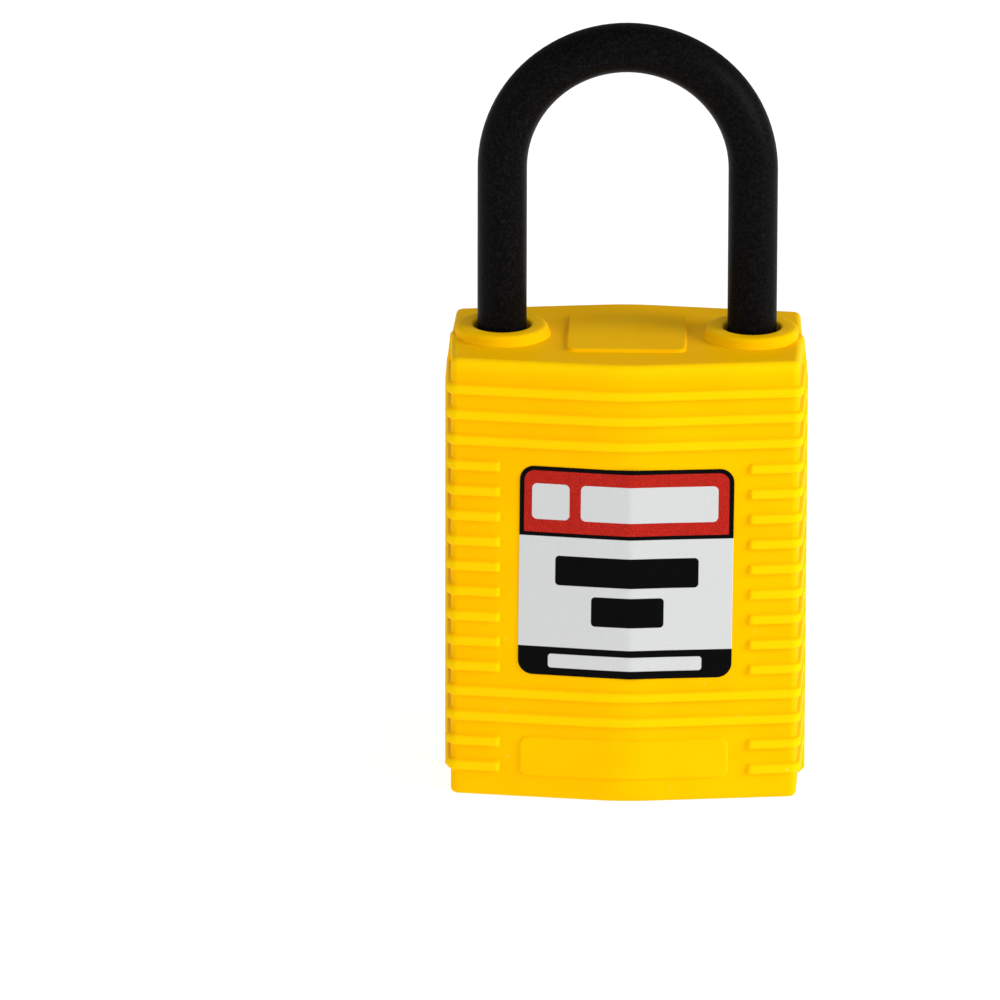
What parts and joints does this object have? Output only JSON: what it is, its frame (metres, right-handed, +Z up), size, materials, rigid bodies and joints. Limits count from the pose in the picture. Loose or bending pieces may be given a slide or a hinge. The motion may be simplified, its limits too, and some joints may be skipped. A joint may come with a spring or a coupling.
{
  "type": "lockout padlock",
  "caption": "Lockout padlock with a ribbed moulded body, a slim round shackle that springs up, and a key-turned plug in its underside.",
  "frame": {"origin": "middle of the body's footprint, on the surface that the padlock stands on", "axes": "+Z up along the shackle's legs, -Y out of the labelled front, +X towards the heel leg"},
  "size_m": [0.035, 0.0214, 0.0754],
  "materials": {
    "yellow_nylon": "satin moulded nylon",
    "black_nylon": "satin glass-filled nylon",
    "label": "printed film with a light sheen",
    "brass": "turned",
    "bright_steel": "ground",
    "spring_steel": "drawn wire",
    "grey_moulding": "moulded acetal"
  },
  "bodies": {
    "housing": {"body_shell": "yellow_nylon", "bottom_plate": "yellow_nylon", "front_label": "label", "shackle_spring": "spring_steel", "lock_cylinder": "brass", "cylinder_stop_pin": "bright_steel", "spindle_bearing": "grey_moulding"},
    "plug": {"lock_plug": "brass", "slider_1": "bright_steel", "slider_2": "bright_steel", "slider_3": "bright_steel", "slider_4": "bright_steel", "slider_5": "bright_steel", "slider_6": "bright_steel", "slider_spring_1": "spring_steel", "slider_spring_2": "spring_steel", "slider_spring_3": "spring_steel", "slider_spring_4": "spring_steel", "slider_spring_5": "spring_steel", "slider_spring_6": "spring_steel", "sidebar_front": "brass", "sidebar_rear": "brass", "sidebar_springs_front": "spring_steel", "sidebar_springs_rear": "spring_steel", "plug_retaining_ring": "spring_steel", "drive_spindle": "bright_steel", "locking_cam": "bright_steel"},
    "shackle": {"shackle": "black_nylon", "shackle_retaining_clip": "spring_steel"},
    "ball_left": {"locking_ball_left": "bright_steel"},
    "ball_right": {"locking_ball_right": "bright_steel"}
  },
  "joints": [
    {"name": "plug_turn", "type": "hinge", "parent": "housing", "child": "plug", "pos_m": [0, 0, 0], "axis": [0, 0, 1], "range_deg": [0, 90]},
    {"name": "shackle_lift", "type": "slide", "parent": "housing", "child": "shackle", "axis": [0, 0, 1], "range_m": [0, 0.009], "deforming": ["shackle_spring"]},
    {"name": "ball_left_slide", "type": "slide", "parent": "housing", "child": "ball_left", "axis": [1, 0, 0], "range_m": [0, 0.0022]},
    {"name": "ball_right_slide", "type": "slide", "parent": "housing", "child": "ball_right", "axis": [-1, 0, 0], "range_m": [0, 0.0022]}
  ],
  "couplings": [
    {"joint": "shackle_lift", "follows": "plug_turn", "m_per_rad": 0.0057295},
    {"joint": "ball_left_slide", "follows": "plug_turn", "m_per_rad": 0.0014005},
    {"joint": "ball_right_slide", "follows": "plug_turn", "m_per_rad": 0.0014005}
  ]
}
